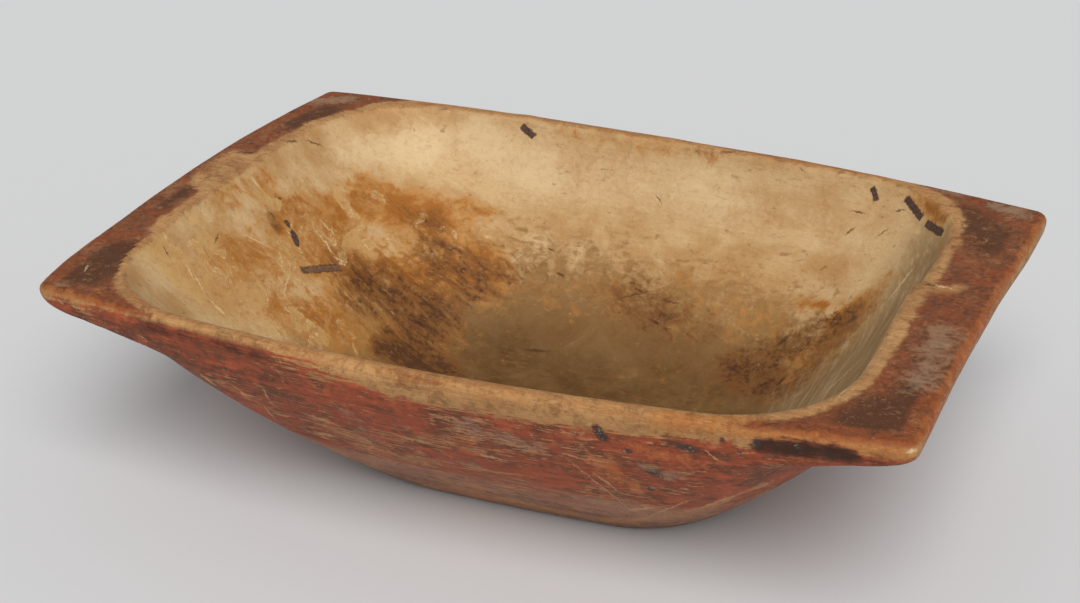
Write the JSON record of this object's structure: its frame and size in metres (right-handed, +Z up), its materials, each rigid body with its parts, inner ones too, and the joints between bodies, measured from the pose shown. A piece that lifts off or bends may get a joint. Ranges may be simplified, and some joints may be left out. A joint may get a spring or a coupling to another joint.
{
  "type": "dug-out wooden dough trough",
  "caption": "Open trough carved from one half log, with raked ends, bellied sides, a flat lug for the hands at each end and a round-bottomed hollow for kneading or carrying dough",
  "frame": {"origin": "middle of the bounding box at the level of the flat base", "axes": "+X runs along the trough towards the broader lug, +Y runs across it to the back side of the picture, +Z is up"},
  "size_m": [0.71, 0.4996, 0.195],
  "materials": {
    "carved_wood": "hand-carved pale hardwood, stained inside, worn brick-red paint outside",
    "gallery_fill": "matt dark packed wood dust and wax"
  },
  "bodies": {
    "root": {"trough_body": "carved_wood", "fill_back_left": "gallery_fill", "fill_back_right": "gallery_fill", "fill_corner_upper": "gallery_fill", "fill_corner_lower": "gallery_fill", "fill_left_long": "gallery_fill", "fill_left_oval": "gallery_fill", "fill_left_small": "gallery_fill"}
  },
  "joints": []
}
